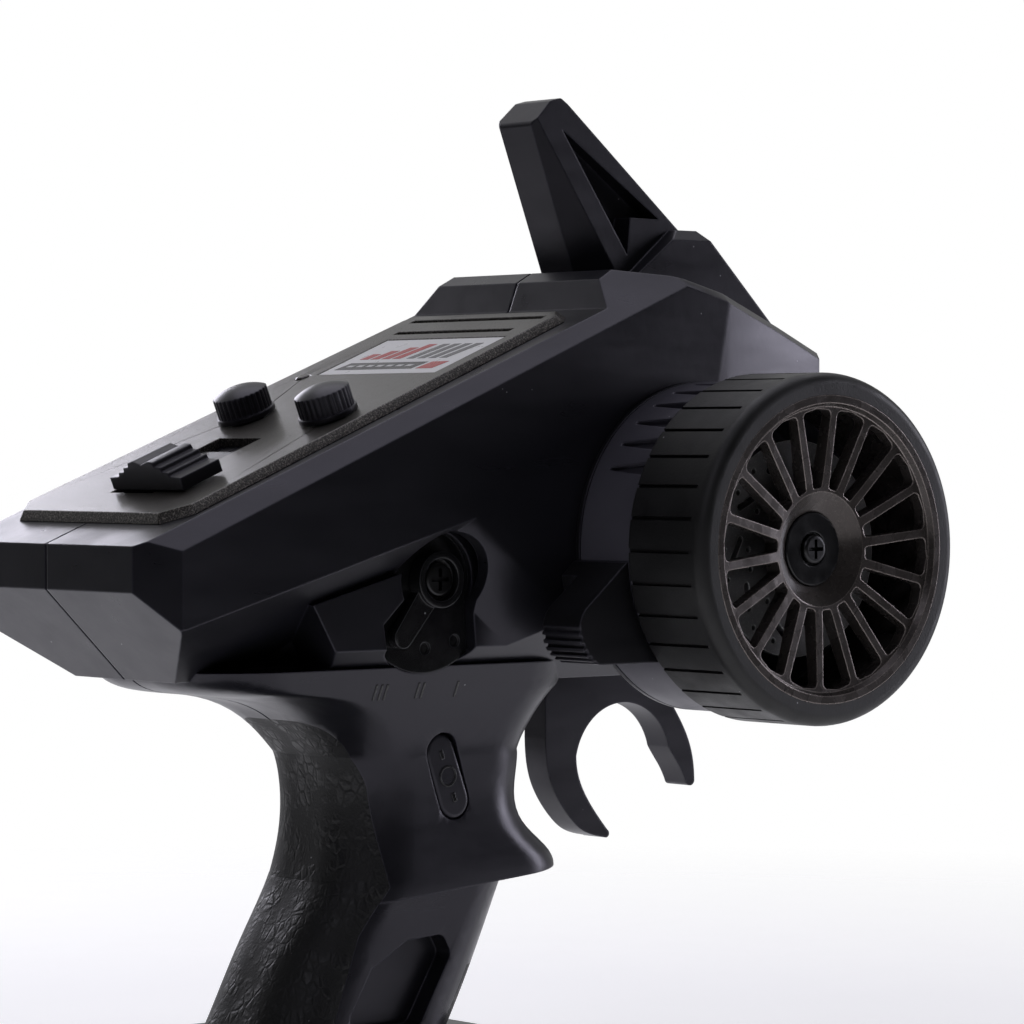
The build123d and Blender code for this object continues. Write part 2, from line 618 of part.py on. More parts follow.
with BuildPart() as rate_lever:
    with BuildSketch(across_x(HALF_WIDTH + 0.25, WHEEL_Y, WHEEL_Z)):
        Circle(RING_R)
        Circle(PLATE_INNER, mode=Mode.SUBTRACT)
    extrude(amount=1.0)
    with BuildSketch(across_x(HALF_WIDTH + 0.25, WHEEL_Y, WHEEL_Z)) as thumb:
        with BuildLine():
            Polyline((-29.6, -2.0), (-39.2, -10.0))
            ThreePointArc((-39.2, -10.0), (-40.6, -14.6), (-35.8, -19.6))
            Polyline((-35.8, -19.6), (-22.0, -19.6), (-26.0, -2.0), (-29.6, -2.0))
        make_face()
        Circle(RING_R + GAP, mode=Mode.SUBTRACT)
    extrude(amount=RING_FRONT - HALF_WIDTH - 0.5)
    with BuildSketch(across_x(HALF_WIDTH, WHEEL_Y, WHEEL_Z)):
        Circle(60)
        Circle(LEVER_STEM_R, mode=Mode.SUBTRACT)
    extrude(amount=LEVER_RELIEF, mode=Mode.SUBTRACT)
    with BuildSketch(across_x(HALF_WIDTH + 0.25, WHEEL_Y, WHEEL_Z)):
        with BuildLine():
            Polyline((-28.0, -3.0), (-30.5, -4.0), (-27.5, -15.5), (-25.5, -14.0), close=True)
        make_face()
    extrude(amount=1.0)
    with BuildSketch(across_x(HALF_WIDTH + 3.0, WHEEL_Y - 31.5, WHEEL_Z - 11.8)):
        with PolarLocations(9.4, 11, start_angle=165, angular_range=95):
            Circle(0.45)
    extrude(amount=20, mode=Mode.SUBTRACT)
rate_lever.part.label = "rate_lever"
export_step(rate_lever.part, "parts/rate_lever.step")

with BuildPart() as tyre:
    with BuildSketch(across_x(TYRE_BACK, WHEEL_Y, WHEEL_Z)):
        Circle(WHEEL_R)
        Circle(RIM_R + FIT, mode=Mode.SUBTRACT)
    extrude(amount=WHEEL_FACE - TYRE_BACK)
    outer = tyre.edges().filter_by(GeomType.CIRCLE).filter_by(lambda e: abs(e.radius - WHEEL_R) < 0.01)
    fillet(outer.sort_by(Axis.X)[-1], 2.2)
    fillet(outer.sort_by(Axis.X)[0], 0.6)
    for step in range(GROOVES):
        a = 2 * pi * step / GROOVES
        groove = Plane(origin=(TYRE_BACK, WHEEL_Y + WHEEL_R * cos(a), WHEEL_Z + WHEEL_R * sin(a)),
                       x_dir=(1, 0, 0), z_dir=(0, cos(a), sin(a)))
        with Locations(groove):
            Box(2 * GROOVE_LEN, 0.7, 1.4, mode=Mode.SUBTRACT)
tyre.part.label = "tyre"
export_step(tyre.part, "parts/tyre.step")


def wheel_revolve(points):
    """Solid of revolution about the steering axis from (X, radius) points."""
    with BuildPart() as body:
        with BuildSketch(Plane(origin=(0, WHEEL_Y, WHEEL_Z), x_dir=(1, 0, 0), z_dir=(0, -1, 0))):
            with BuildLine():
                Polyline(*points, close=True)
            make_face()
        revolve(axis=Axis((0, WHEEL_Y, WHEEL_Z), (1, 0, 0)))
    return body.part


def window_cutter():
    """One rounded window between two spokes, pointing along +Z."""
    half = radians(180.0 / SPOKES)
    inner, outer_r = 10.6, 24.3
    with BuildPart() as window:
        with BuildSketch(across_x(54, WHEEL_Y, WHEEL_Z)) as outline:
            with BuildLine():
                Polyline((-inner * tan(half) + 0.85, inner), (-outer_r * sin(half) + 0.75, outer_r * cos(half)),
                         (0, outer_r + 0.2), (outer_r * sin(half) - 0.75, outer_r * cos(half)),
                         (inner * tan(half) - 0.85, inner), close=True)
            make_face()
            fillet(outline.vertices().sort_by(Axis.Y)[0:2], 0.6)
            fillet(outline.vertices().sort_by(Axis.Y)[-3:-1], 1.0)
        extrude(amount=14)
    return window.part


rim_solid = wheel_revolve([(46.0, RIM_R), (WHEEL_FACE, RIM_R), (WHEEL_FACE, 25.4), (63.0, 24.8), (61.9, 13.0),
                           (61.5, 10.0), (59.0, 6.5), (HUB_SEAT, 6.5), (HUB_SEAT, HUB_BORE), (48.0, HUB_BORE),
                           (48.0, 6.4), (56.6, 6.4), (58.8, 12.0), (60.6, 23.4), (60.6, 25.2), (46.0, 25.2)])
cutter = window_cutter()
for step in range(SPOKES):
    turn = FIRST_WINDOW + 360.0 * step / SPOKES
    rim_solid = rim_solid - cutter.rotate(Axis((0, WHEEL_Y, WHEEL_Z), (1, 0, 0)), turn)
with BuildPart() as wheel_rim:
    add(rim_solid)
wheel_rim.part.label = "wheel_rim"
export_step(wheel_rim.part, "parts/wheel_rim.step")

with BuildPart() as brake_disc:
    with BuildSketch(across_x(53.4, WHEEL_Y, WHEEL_Z)):
        Circle(19.0)
        Circle(6.4, mode=Mode.SUBTRACT)
        with PolarLocations(14.0, 10):
            SlotCenterToCenter(4.0, 1.2, rotation=62, mode=Mode.SUBTRACT)
        for radius in (11.2, 16.8):
            with PolarLocations(radius, 20):
                Circle(0.5, mode=Mode.SUBTRACT)
    extrude(amount=1.4)
brake_disc.part.label = "brake_disc"
export_step(brake_disc.part, "parts/brake_disc.step")

with BuildPart() as hub_cap:
    with BuildSketch(across_x(HUB_SEAT, WHEEL_Y, WHEEL_Z)):
        Circle(6.4)
        Circle(1.35, mode=Mode.SUBTRACT)
    extrude(amount=1.2)
    with BuildSketch(across_x(HUB_SEAT + 0.6, WHEEL_Y, WHEEL_Z)):
        Circle(2.9)
    extrude(amount=2, mode=Mode.SUBTRACT)
    fillet(hub_cap.edges().filter_by(GeomType.CIRCLE).sort_by(Axis.X)[-2:], 0.25)
hub_cap.part.label = "hub_cap"
export_step(hub_cap.part, "parts/hub_cap.step")

with BuildPart() as wheel_screw:
    with BuildSketch(across_x(HUB_SEAT + 0.6, WHEEL_Y, WHEEL_Z)):
        Circle(2.6)
    extrude(amount=1.3)
    fillet(wheel_screw.edges().sort_by(Axis.X)[-1], 0.7)
    with BuildSketch(across_x(HUB_SEAT - 8.8, WHEEL_Y, WHEEL_Z)):
        Circle(1.2)
    extrude(amount=9.4)
    with BuildSketch(across_x(HUB_SEAT + 1.9, WHEEL_Y, WHEEL_Z)):
        Rectangle(3.4, 0.65)
        Rectangle(0.65, 3.4)
    extrude(amount=-0.9, mode=Mode.SUBTRACT)
wheel_screw.part.label = "wheel_screw"
export_step(wheel_screw.part, "parts/wheel_screw.step")

with BuildPart() as steering_shaft:
    with BuildSketch(across_x(13.4, WHEEL_Y, WHEEL_Z)):
        Circle(SHAFT_R)
    extrude(amount=HUB_SEAT - 13.4)
    with BuildSketch(across_x(HUB_SEAT - 9.3, WHEEL_Y, WHEEL_Z)):
        Circle(1.25)
    extrude(amount=10, mode=Mode.SUBTRACT)
steering_shaft.part.label = "steering_shaft"
export_step(steering_shaft.part, "parts/steering_shaft.step")

with BuildPart() as steering_pot:
    with BuildSketch(across_x(9.0, WHEEL_Y, WHEEL_Z)):
        RectangleRounded(16, 16, 2)
    extrude(amount=8.5)
    with BuildSketch(across_x(13.0, WHEEL_Y, WHEEL_Z)):
        Circle(SHAFT_R + FIT)
    extrude(amount=10, mode=Mode.SUBTRACT)
steering_pot.part.label = "steering_pot"
export_step(steering_pot.part, "parts/steering_pot.step")

with BuildPart() as steering_spring:
    add(coil(8.0, 0.55, 1.5, 4, across_x(35.2, WHEEL_Y, WHEEL_Z)))
steering_spring.part.label = "steering_spring"
export_step(steering_spring.part, "parts/steering_spring.step")

# ---------------------------------------------------------------- trigger
with BuildPart() as trigger:
    with BuildSketch(across_x(-TRIGGER_W / 2, 0, 0)) as outline:
        with BuildLine():
            Polyline((66.0, 101.0), (58.0, 101.0), (47.0, 84.0), (47.0, 76.5))
            Spline((47.0, 76.5), (48.6, 67.8), (53.6, 61.0), (61.2, 57.7), tangents=[(0.02, -1), (1, -0.15)])
            ThreePointArc((61.2, 57.7), (62.3, 57.9), (62.0, 59.0))
            Spline((62.0, 59.0), (56.6, 65.8), (54.4, 73.0), tangents=[(-0.9, 1), (0, 1)])
            ThreePointArc((54.4, 73.0), (65.9, 82.4), (77.3, 73.6))
            Spline((77.3, 73.6), (80.2, 69.6), (81.8, 66.6), tangents=[(0.6, -1), (0.4, -1)])
            ThreePointArc((81.8, 66.6), (82.9, 66.1), (83.8, 66.9))
            Spline((83.8, 66.9), (82.6, 74.0), (77.8, 82.0), (72.4, 88.0), tangents=[(0, 1), (-1, 0.9)])
            Line((72.4, 88.0), (66.0, 101.0))
        make_face()
    extrude(amount=TRIGGER_W)
    with BuildSketch(across_x(-TRIGGER_W / 2, TRIGGER_Y, TRIGGER_Z)):
        Circle(5.2)
    extrude(amount=TRIGGER_W)
    with BuildSketch(across_x(-10, TRIGGER_Y, TRIGGER_Z)):
        Circle(PIN_R)
    extrude(amount=20, mode=Mode.SUBTRACT)
trigger.part.label = "trigger"
export_step(trigger.part, "parts/trigger.step")

with BuildPart() as trigger_shaft:
    with BuildSketch(across_x(-15.0, TRIGGER_Y, TRIGGER_Z)):
        Circle(PIN_R)
    extrude(amount=25.5)
trigger_shaft.part.label = "trigger_shaft"
export_step(trigger_shaft.part, "parts/trigger_shaft.step")

with BuildPart() as trigger_pot:
    with BuildSketch(across_x(-18.4, TRIGGER_Y, TRIGGER_Z)):
        RectangleRounded(11, 10, 1.5)
    extrude(amount=7.0)
    with BuildSketch(across_x(-15.4, TRIGGER_Y, TRIGGER_Z)):
        Circle(PIN_R + FIT)
    extrude(amount=10, mode=Mode.SUBTRACT)
trigger_pot.part.label = "trigger_pot"
export_step(trigger_pot.part, "parts/trigger_pot.step")

with BuildPart() as trigger_spring:
    add(coil(3.4, 0.4, 1.1, 4, across_x(-9.6, TRIGGER_Y, TRIGGER_Z)))
trigger_spring.part.label = "trigger_spring"
export_step(trigger_spring.part, "parts/trigger_spring.step")

# ---------------------------------------------------------------- rate selector and side button
with BuildPart() as selector_plate:
    add(selector_pocket(0.05) & slab_x(APRON_X - POCKET_DEPTH, APRON_X - POCKET_DEPTH + 0.8))
    for angle in SELECT_ANGLES:
        a = radians(angle)
        with BuildSketch(across_x(APRON_X - POCKET_DEPTH + 0.8, SELECT_Y - 12 * sin(a), SELECT_Z - 12 * cos(a))):
            Circle(1.1)
        extrude(amount=-0.45, mode=Mode.SUBTRACT)
    with BuildSketch(across_x(0, SELECT_Y, SELECT_Z)):
        Circle(1.5)
    extrude(amount=40, mode=Mode.SUBTRACT)
selector_plate.part.label = "selector_plate"
export_step(selector_plate.part, "parts/selector_plate.step")

with BuildPart() as rate_selector:
    with BuildSketch(across_x(APRON_X - POCKET_DEPTH + 1.0, SELECT_Y, SELECT_Z)):
        Circle(4.9)
    extrude(amount=2.9)
    a = radians(SELECT_ANGLES[0])
    arm = Plane(origin=(APRON_X - POCKET_DEPTH + 1.0, SELECT_Y, SELECT_Z),
                x_dir=(0, -sin(a), -cos(a)), z_dir=(1, 0, 0))
    with BuildSketch(arm):
        with BuildLine():
            Polyline((0, -2.4), (12.4, -1.9))
            ThreePointArc((12.4, -1.9), (14.3, 0), (12.4, 1.9))
            Polyline((12.4, 1.9), (0, 2.4), (0, -2.4))
        make_face()
    extrude(amount=2.0)
    with BuildSketch(across_x(APRON_X - POCKET_DEPTH + 2.2, SELECT_Y, SELECT_Z)):
        Circle(3.7)
    extrude(amount=3, mode=Mode.SUBTRACT)
    with BuildSketch(across_x(APRON_X - POCKET_DEPTH, SELECT_Y, SELECT_Z)):
        Circle(1.35)
    extrude(amount=6, mode=Mode.SUBTRACT)
rate_selector.part.label = "rate_selector"
export_step(rate_selector.part, "parts/rate_selector.step")

with BuildPart() as selector_screw:
    with BuildSketch(across_x(APRON_X - POCKET_DEPTH + 2.3, SELECT_Y, SELECT_Z)):
        Circle(3.0)
    extrude(amount=1.1)
    fillet(selector_screw.edges().sort_by(Axis.X)[-1], 0.6)
    with BuildSketch(across_x(13, SELECT_Y, SELECT_Z)):
        Circle(1.3)
    extrude(amount=APRON_X - POCKET_DEPTH + 2.3 - 13)
    with BuildSketch(across_x(APRON_X - POCKET_DEPTH + 3.4, SELECT_Y, SELECT_Z)):
        Rectangle(3.8, 0.75)
        Rectangle(0.75, 3.8)
    extrude(amount=-0.8, mode=Mode.SUBTRACT)
selector_screw.part.label = "selector_screw"
export_step(selector_screw.part, "parts/selector_screw.step")

with BuildPart() as side_button:
    with BuildSketch(button_plane(10.8)):
        SlotOverall(BUTTON_LEN, BUTTON_W)
    extrude(amount=5.2)
    fillet(side_button.faces().sort_by(Axis.X)[-1].edges(), 0.7)
side_button.part.label = "side_button"
export_step(side_button.part, "parts/side_button.step")

with BuildPart() as button_switch:
    with BuildSketch(button_plane(4.5)):
        Rectangle(7.4, 7.4)
    extrude(amount=3.6)
    with BuildSketch(button_plane(8.1)):
        Circle(1.7)
    extrude(amount=1.2)
button_switch.part.label = "button_switch"
export_step(button_switch.part, "parts/button_switch.step")

# ---------------------------------------------------------------- base
with BuildPart() as base_outer:
    middle = (BASE_BACK + BASE_FRONT) / 2
    with BuildSketch(Plane.XY.offset(FEET_H)):
        with Locations((0, middle)):
            RectangleRounded(2 * BASE_HALF, BASE_FRONT - BASE_BACK, 9)
    extrude(amount=19.0)
    with BuildSketch(Plane.XY.offset(FEET_H + 19.0)):
        with Locations((0, middle)):
            RectangleRounded(2 * BASE_HALF, BASE_FRONT - BASE_BACK, 9)
    with BuildSketch(Plane.XY.offset(BASE_TOP)):
        with Locations((0, -3.5)):
            RectangleRounded(46, 58, 9)
    loft()
    chamfer(base_outer.faces().sort_by(Axis.Z)[0].edges(), 1.0)


with BuildPart() as base_shell:
    add(base_outer.part - grip_loft(GRIP_LOW))
    with Locations(((CAVITY_X - BASE_HALF + DOOR_T) / 2, 0, (CAVITY_LOW + CAVITY_HIGH) / 2)):
        Box(CAVITY_X + BASE_HALF - DOOR_T, 66, CAVITY_HIGH - CAVITY_LOW, mode=Mode.SUBTRACT)
    with Locations((-BASE_HALF, 0, (DOOR_LOW + DOOR_HIGH) / 2)):
        Box(2 * DOOR_T + 1.2, DOOR_W, DOOR_HIGH - DOOR_LOW, mode=Mode.SUBTRACT)
    with BuildSketch(Plane(origin=(HINGE_X, DOOR_W / 2 + 2.6, HINGE_Z), x_dir=(1, 0, 0), z_dir=(0, -1, 0))):
        Circle(PIVOT_R)
    extrude(amount=DOOR_W + 5.2, mode=Mode.SUBTRACT)
base_shell.part.label = "base_shell"
export_step(base_shell.part, "parts/base_shell.step")

with BuildPart() as battery_door:
    with Locations((-BASE_HALF + DOOR_T / 2, 0, (HINGE_Z + DOOR_HIGH - GAP) / 2)):
        Box(DOOR_T, DOOR_W - 2 * GAP, DOOR_HIGH - GAP - HINGE_Z)
    with BuildSketch(Plane(origin=(HINGE_X, (DOOR_W - 2 * GAP) / 2, HINGE_Z), x_dir=(1, 0, 0), z_dir=(0, -1, 0))):
        Circle(DOOR_T / 2)
    extrude(amount=DOOR_W - 2 * GAP)
    with BuildSketch(Plane(origin=(HINGE_X, DOOR_W, HINGE_Z), x_dir=(1, 0, 0), z_dir=(0, -1, 0))):
        Circle(PIVOT_R + FIT)
    extrude(amount=2 * DOOR_W, mode=Mode.SUBTRACT)
    with Locations((-BASE_HALF, 0, 14.5)):
        for step in range(5):
            with Locations((0, 0, (step - 2) * 1.2)):
                Box(0.8, 14, 0.5, mode=Mode.SUBTRACT)
battery_door.part.label = "battery_door"
export_step(battery_door.part, "parts/battery_door.step")

with BuildPart() as door_pin:
    with BuildSketch(Plane(origin=(HINGE_X, DOOR_W / 2 + 2.5, HINGE_Z), x_dir=(1, 0, 0), z_dir=(0, -1, 0))):
        Circle(PIVOT_R)
    extrude(amount=DOOR_W + 5)
door_pin.part.label = "door_pin"
export_step(door_pin.part, "parts/door_pin.step")

with BuildPart() as battery_cells:
    for row in (-1.5, -0.5, 0.5, 1.5):
        with BuildSketch(across_x(CELL_X0, row * CELL_PITCH, CELL_Z)):
            Circle(CELL_R)
        extrude(amount=CELL_LEN - 1.2)
        with BuildSketch(across_x(CELL_X0 + CELL_LEN - 1.2, row * CELL_PITCH, CELL_Z)):
            Circle(2.7)
        extrude(amount=1.2)
battery_cells.part.label = "battery_cells"
export_step(battery_cells.part, "parts/battery_cells.step")

with BuildPart() as battery_contacts:
    for row in (-1.5, -0.5, 0.5, 1.5):
        with Locations((CAVITY_X - 0.25, row * CELL_PITCH, CELL_Z)):
            Box(0.5, 9, 9)
        with BuildSketch(across_x(CELL_X0 + CELL_LEN + 0.05, row * CELL_PITCH, CELL_Z)):
            Circle(2.0)
        extrude(amount=CAVITY_X - 0.4 - CELL_X0 - CELL_LEN)
battery_contacts.part.label = "battery_contacts"
export_step(battery_contacts.part, "parts/battery_contacts.step")

with BuildPart() as rubber_feet:
    corners = [(x, y) for x in (-24, 24) for y in (BASE_BACK + 10, BASE_FRONT - 10)]
    for place in [(0, 0), *corners]:
        with BuildSketch(Plane.XY):
            with Locations(place):
                RectangleRounded(10, 12, 3)
        extrude(amount=FEET_H)
rubber_feet.part.label = "rubber_feet"
export_step(rubber_feet.part, "parts/rubber_feet.step")
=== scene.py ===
import json
from math import cos, radians, sin

import bmesh
import bpy
from mathutils import Matrix, Vector
from mathutils.bvhtree import BVHTree


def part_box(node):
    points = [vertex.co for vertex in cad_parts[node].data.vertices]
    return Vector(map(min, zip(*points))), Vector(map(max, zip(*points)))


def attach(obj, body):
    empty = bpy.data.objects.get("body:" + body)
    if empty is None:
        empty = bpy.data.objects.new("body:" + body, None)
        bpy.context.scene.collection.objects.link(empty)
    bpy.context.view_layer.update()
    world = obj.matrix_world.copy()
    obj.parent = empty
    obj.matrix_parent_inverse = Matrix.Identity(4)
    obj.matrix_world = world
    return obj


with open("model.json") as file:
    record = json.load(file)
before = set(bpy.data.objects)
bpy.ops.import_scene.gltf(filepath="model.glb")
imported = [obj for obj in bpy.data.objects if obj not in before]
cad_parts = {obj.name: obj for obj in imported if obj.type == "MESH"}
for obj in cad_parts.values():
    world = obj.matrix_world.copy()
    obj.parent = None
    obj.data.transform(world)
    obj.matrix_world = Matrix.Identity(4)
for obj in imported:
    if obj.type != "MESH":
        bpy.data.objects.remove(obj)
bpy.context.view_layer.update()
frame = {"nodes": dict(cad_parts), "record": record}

MM = 0.001

# The panel's slope, which the CAD fixes.
SLOPE = radians(22)
PANEL_UP = Vector((0, -sin(SLOPE), cos(SLOPE)))
PANEL_RISE = Vector((0, cos(SLOPE), sin(SLOPE)))

nodes = frame["nodes"]


# ---------------------------------------------------------------- shader building blocks
class Shader:
    """A node material with short calls for the textures used here; positions are in metres."""

    def __init__(self, name, color, roughness):
        self.material = bpy.data.materials.new(name)
        self.material.use_nodes = True
        self.tree = self.material.node_tree
        self.bsdf = self.tree.nodes["Principled BSDF"]
        self.coords = self.node("ShaderNodeTexCoord").outputs["Object"]
        self.color = color
        self.set("Base Color", (*color, 1))
        self.set("Roughness", roughness)
        self.normal = None

    def round_edges(self, radius):
        """Shades sharp edges as if they had this radius in mm, and keeps a mask of where they are."""
        edge = self.node("ShaderNodeBevel", samples=4)
        edge.inputs["Radius"].default_value = radius * MM
        self.normal = edge.outputs["Normal"]
        geometry = self.node("ShaderNodeNewGeometry")
        agree = self.node("ShaderNodeVectorMath", operation="DOT_PRODUCT")
        self.link(edge.outputs["Normal"], agree.inputs[0])
        self.link(geometry.outputs["Normal"], agree.inputs[1])
        self.on_edge = self.ramp(agree.outputs["Value"], *EDGE_AGREEMENT)

    def pale_edges(self, body, color, amount):
        """The body colour, paler on sharp edges: a painted stand-in for the thin highlights seen there."""
        return self.mix(self.math("MULTIPLY", self.on_edge, amount), body, color)

    def node(self, kind, **settings):
        made = self.tree.nodes.new(kind)
        for key, value in settings.items():
            setattr(made, key, value)
        return made

    def link(self, output, node_input):
        self.tree.links.new(output, node_input)

    def set(self, socket, value):
        self.bsdf.inputs[socket].default_value = value

    def noise(self, scale, detail=2.0, roughness=0.5, stretch=None):
        texture = self.node("ShaderNodeTexNoise")
        texture.inputs["Scale"].default_value = scale
        texture.inputs["Detail"].default_value = detail
        texture.inputs["Roughness"].default_value = roughness
        self.link(self.stretched(stretch), texture.inputs["Vector"])
        return texture.outputs["Fac"]

    def cells(self, scale, feature="F1", stretch=None, output="Distance"):
        texture = self.node("ShaderNodeTexVoronoi", feature=feature)
        texture.inputs["Scale"].default_value = scale
        self.link(self.stretched(stretch), texture.inputs["Vector"])
        return texture.outputs[output]

    def stretched(self, stretch):
        if stretch is None:
            return self.coords
        mapping = self.node("ShaderNodeMapping")
        mapping.inputs["Scale"].default_value = stretch[:3]
        if len(stretch) > 3:
            mapping.inputs["Rotation"].default_value = (stretch[3], 0, 0)
        self.link(self.coords, mapping.inputs["Vector"])
        return mapping.outputs["Vector"]

    def math(self, operation, a, b=0.0, c=0.0):
        made = self.node("ShaderNodeMath", operation=operation)
        for index, value in enumerate((a, b, c)):
            if isinstance(value, (int, float)):
                made.inputs[index].default_value = value
            else:
                self.link(value, made.inputs[index])
        return made.outputs[0]

    def ramp(self, value, low, high, to_low=0.0, to_high=1.0):
        made = self.node("ShaderNodeMapRange")
        for key, number in (("From Min", low), ("From Max", high), ("To Min", to_low), ("To Max", to_high)):
            made.inputs[key].default_value = number
        self.link(value, made.inputs["Value"])
        return made.outputs["Result"]

    def mix(self, factor, a, b):
        made = self.node("ShaderNodeMix", data_type="RGBA")
        for value, socket in ((a, made.inputs[6]), (b, made.inputs[7])):
            if isinstance(value, tuple):
                socket.default_value = (*value, 1)
            else:
                self.link(value, socket)
        self.link(factor, made.inputs[0])
        return made.outputs[2]

    def bump(self, height, distance, strength=1.0):
        made = self.node("ShaderNodeBump")
        made.inputs["Distance"].default_value = distance
        made.inputs["Strength"].default_value = strength
        self.link(height, made.inputs["Height"])
        if self.normal is not None:
            self.link(self.normal, made.inputs["Normal"])
        self.normal = made.outputs["Normal"]
        self.link(self.normal, self.bsdf.inputs["Normal"])

    def paint(self, color):
        self.link(color, self.bsdf.inputs["Base Color"])

    def rough(self, value):
        self.link(value, self.bsdf.inputs["Roughness"])


# Colour and gain of the painted highlights on sharp edges, and the agreement of rounded and real normal at which
# an edge starts and is full.
EDGE_PAINTED_HIGHLIGHT = (0.045, 0.043, 0.058)
EDGE_HIGHLIGHT_GAIN = 7.0
EDGE_AGREEMENT = (0.995, 0.90)

# Slightly violet reflections, to match the picture's cast; the cast may come from its lighting.
COOL_SHEEN = (0.90, 0.875, 1.0, 1)


def dusted(shader, amount, color=(0.32, 0.32, 0.34)):
    """Sparse pale dust specks over the shader's colour; returns the colour output."""
    cell = shader.cells(330.0)
    pick = shader.cells(330.0, output="Color")
    dot = shader.ramp(cell, 0.035, 0.055, 1.0, 0.0)
    chosen = shader.ramp(shader.math("FRACT", shader.math("MULTIPLY", pick, 7.31)), 1 - amount, 1.01 - amount)
    return shader.math("MULTIPLY", dot, chosen), color


def satin_plastic(name, color, roughness, texture=0.6, dust=0.10, blotch=0.25, edge=0.45):
    """Fine spark-eroded moulded plastic with faint handling marks and a little dust."""
    s = Shader(name, color, roughness)
    s.round_edges(edge)
    s.set("Specular Tint", COOL_SHEEN)
    cloud = s.noise(55.0, 4.0, 0.6)
    darker = tuple(c * (1 - blotch) for c in color)
    lighter = tuple(min(1.0, c * (1 + blotch)) for c in color)
    # Sharp edges get a painted highlight: the body colour is mixed toward a pale violet grey there.
    body = s.pale_edges(s.mix(cloud, darker, lighter), EDGE_PAINTED_HIGHLIGHT, 0.8)
    specks, speck_color = dusted(s, dust)
    s.paint(s.mix(specks, body, speck_color))
    smear = s.noise(120.0, 3.0, 0.55, stretch=(1.0, 0.35, 1.6))
    s.rough(s.ramp(smear, 0.25, 0.75, roughness - 0.05, roughness + 0.06))
    s.bump(s.noise(5200.0, 2.0, 0.6), 0.000018 * texture)
    s.bump(s.noise(420.0, 2.0, 0.5), 0.00003 * texture)
    return s


def leather_rubber(name, color):
    """Soft rubber with a moulded leather grain: short wrinkles between flat islands."""
    s = Shader(name, color, 0.5)
    warp = s.noise(260.0, 3.0, 0.6)
    grain = s.cells(560.0, feature="DISTANCE_TO_EDGE", stretch=(1.0, 1.0, 0.62))
    fine = s.cells(1500.0, feature="DISTANCE_TO_EDGE")
    crease = s.ramp(grain, 0.0, 0.16)
    island = s.ramp(warp, 0.42, 0.62)
    height = s.math("MULTIPLY_ADD", s.math("MULTIPLY", crease, island), 0.8, s.math("MULTIPLY", fine, 0.35))
    # The grain's creases are painted darker: painted shade in the creases.
    crease_shaded_color = s.mix(height, tuple(c * 0.45 for c in color), color)
    specks, speck_color = dusted(s, 0.06)
    s.paint(s.mix(specks, crease_shaded_color, speck_color))
    s.rough(s.ramp(height, 0.0, 1.0, 0.60, 0.36))
    s.bump(height, 0.00012)
    s.bump(s.noise(3800.0, 2.0, 0.6), 0.00002)
    return s


def tyre_rubber(name, color):
    """Matt foam rubber with cloudy tone, fine pores and dust."""
    s = Shader(name, color, 0.5)
    cloud = s.noise(90.0, 3.0, 0.6)
    specks, speck_color = dusted(s, 0.16)
    body = s.mix(cloud, tuple(c * 0.7 for c in color), tuple(c * 1.4 for c in color))
    s.paint(s.mix(specks, body, speck_color))
    s.rough(s.ramp(s.noise(160.0, 3.0), 0.3, 0.7, 0.38, 0.56))
    s.bump(s.noise(2600.0, 3.0, 0.65), 0.00004)
    return s


def speckled_panel(name):
    """Grey-bronze film: brushed flat face, sparkling bevel."""
    s = Shader(name, (0.12, 0.115, 0.105), 0.42)
    geometry = s.node("ShaderNodeNewGeometry")
    facing = s.node("ShaderNodeVectorMath", operation="DOT_PRODUCT")
    s.link(geometry.outputs["True Normal"], facing.inputs[0])
    facing.inputs[1].default_value = PANEL_UP
    flat = s.ramp(facing.outputs["Value"], 0.93, 0.99)
    grain = s.noise(3400.0, 2.0, 0.8)
    spark = s.ramp(grain, 0.50, 0.68)
    bevel = s.mix(spark, (0.045, 0.042, 0.038), (0.30, 0.28, 0.25))
    brushed = s.noise(900.0, 3.0, 0.6, stretch=(1.0, 0.12, 0.12))
    face = s.mix(brushed, (0.050, 0.047, 0.043), (0.095, 0.090, 0.082))
    face = s.mix(s.math("MULTIPLY", spark, 0.18), face, (0.4, 0.38, 0.34))
    s.paint(s.mix(flat, bevel, face))
    s.rough(s.ramp(grain, 0.3, 0.7, 0.27, 0.38))
    s.set("Metallic", 0.35)
    s.bump(grain, 0.00003)
    return s


def lacquered(name, color, roughness, flake=0.5, metallic=0.6):
    """Glossy lacquer with fine metal flake and orange peel."""
    s = Shader(name, color, roughness)
    s.round_edges(0.3)
    flakes = s.cells(7000.0, output="Color")
    glint = s.ramp(flakes, 0.72, 0.98)
    body = s.mix(s.math("MULTIPLY", glint, flake), color, tuple(min(1.0, 3.2 * c) for c in color))
    # Sharp edges get a painted highlight: the lacquer colour is brightened there.
    body = s.pale_edges(body, tuple(min(1.0, EDGE_HIGHLIGHT_GAIN * c) for c in color), 0.9)
    specks, speck_color = dusted(s, 0.08)
    s.paint(s.mix(specks, body, speck_color))
    s.set("Metallic", metallic)
    s.rough(s.ramp(s.noise(300.0, 3.0), 0.3, 0.7, roughness - 0.05, roughness + 0.07))
    s.bump(s.noise(900.0, 2.0, 0.5), 0.00002)
    return s


def metal(name, color, roughness):
    """Turned or plated metal with fine rings of tool marks and light stains."""
    s = Shader(name, color, roughness)
    stain = s.noise(240.0, 4.0, 0.6)
    s.paint(s.mix(stain, tuple(c * 0.75 for c in color), color))
    s.set("Metallic", 1.0)
    s.rough(s.ramp(stain, 0.3, 0.7, roughness - 0.06, roughness + 0.1))
    s.bump(s.noise(2600.0, 3.0, 0.6, stretch=(1.0, 0.2, 0.2)), 0.00001)
    return s


